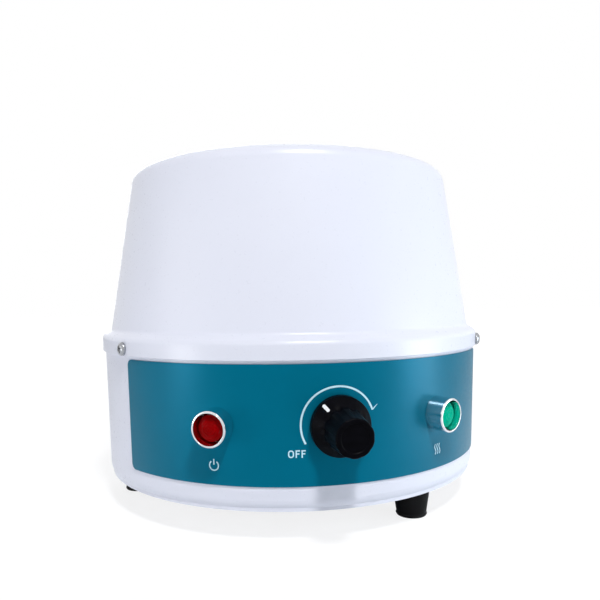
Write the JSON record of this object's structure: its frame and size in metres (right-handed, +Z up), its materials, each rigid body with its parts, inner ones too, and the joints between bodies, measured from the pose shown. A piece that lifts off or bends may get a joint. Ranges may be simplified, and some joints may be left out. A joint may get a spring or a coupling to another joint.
{
  "type": "heating mantle",
  "caption": "Round electric heating mantle with a woven flask well, a fluted control knob and two indicator lamps on a curved front panel.",
  "frame": {"origin": "on the bench, on the axis of the round case", "axes": "+Z up along the case axis, -Y towards the user and the control panel, +X to the right of someone facing the panel"},
  "size_m": [0.203, 0.2443, 0.1683],
  "materials": {
    "white_enamel": "smooth gloss stove enamel",
    "panel_print": "satin teal print with pale legends",
    "zinc_steel": "bright zinc",
    "bezel_chrome": "polished chrome plate",
    "red_lens": "translucent moulded lens",
    "green_lens": "translucent moulded lens",
    "bulb_glass": "clear glass",
    "black_bakelite": "polished phenolic",
    "white_fill": "white paint fill",
    "brass": "turned",
    "black_rubber": "matt",
    "black_nylon": "fine moulded grain",
    "glass_cloth": "woven glass fibre",
    "cord_sleeve": "braided glass-fibre sleeve",
    "glass_wool": "felted",
    "raw_aluminium": "spun",
    "white_ceramic": "unglazed steatite",
    "board_green": "solder mask",
    "connector_green": "moulded",
    "component_black": "moulded epoxy",
    "capacitor_yellow": "moulded box",
    "choke_copper": "enamelled copper winding"
  },
  "bodies": {
    "housing": {"base_pan": "white_enamel", "board_connector": "connector_green", "board_screws": "zinc_steel", "board_standoffs": "brass", "choke_coil": "choke_copper", "clamp_screws": "brass", "control_board": "board_green", "dish_nuts": "zinc_steel", "earth_nut": "zinc_steel", "filter_capacitor": "capacitor_yellow", "foot_front": "black_rubber", "foot_left": "black_rubber", "foot_nuts": "zinc_steel", "foot_rear": "black_rubber", "foot_screws": "zinc_steel", "front_panel": "panel_print", "fuse_holder": "black_nylon", "fuse_nut": "zinc_steel", "fuse_tabs": "brass", "gland_body": "black_nylon", "gland_dome_nut": "black_nylon", "gland_locknut": "black_nylon", "gland_seal": "black_rubber", "heat_lamp_bezel": "bezel_chrome", "heat_lamp_bulb": "bulb_glass", "heat_lamp_lens": "green_lens", "heat_lamp_nut": "bezel_chrome", "heat_lamp_socket": "black_nylon", "heat_shield": "zinc_steel", "heat_sink": "raw_aluminium", "heating_element": "cord_sleeve", "heating_jacket": "glass_cloth", "insulation_blanket": "glass_wool", "lamp_tabs": "brass", "lead_beads": "white_ceramic", "pot_body": "raw_aluminium", "pot_nut": "zinc_steel", "pot_terminals": "brass", "pot_washer": "zinc_steel", "power_lamp_bezel": "bezel_chrome", "power_lamp_bulb": "bulb_glass", "power_lamp_lens": "red_lens", "power_lamp_nut": "bezel_chrome", "power_lamp_socket": "black_nylon", "shell_brackets": "zinc_steel", "shell_screws": "zinc_steel", "shield_nuts": "zinc_steel", "shield_screws": "zinc_steel", "support_dish": "raw_aluminium", "terminal_block": "white_ceramic", "triac": "component_black", "upper_shell": "white_enamel"},
    "knob": {"control_knob": "black_bakelite", "knob_pointer": "white_fill", "knob_insert": "brass", "knob_set_screw": "zinc_steel", "pot_shaft": "zinc_steel"},
    "fuse_carrier": {"fuse_cap": "black_nylon", "fuse_link": "bulb_glass"}
  },
  "joints": [
    {"name": "knob_turn", "type": "hinge", "parent": "housing", "child": "knob", "pos_m": [0, -0.0996, 0.04938], "axis": [0, 0.9993, 0.0363], "range_deg": [-79, 191]},
    {"name": "fuse_cap_turn", "type": "hinge", "parent": "housing", "child": "fuse_carrier", "pos_m": [-0.04638, 0.08722, 0.0408], "axis": [-0.4692, 0.8824, -0.0363], "range_deg": [0, 90]}
  ]
}
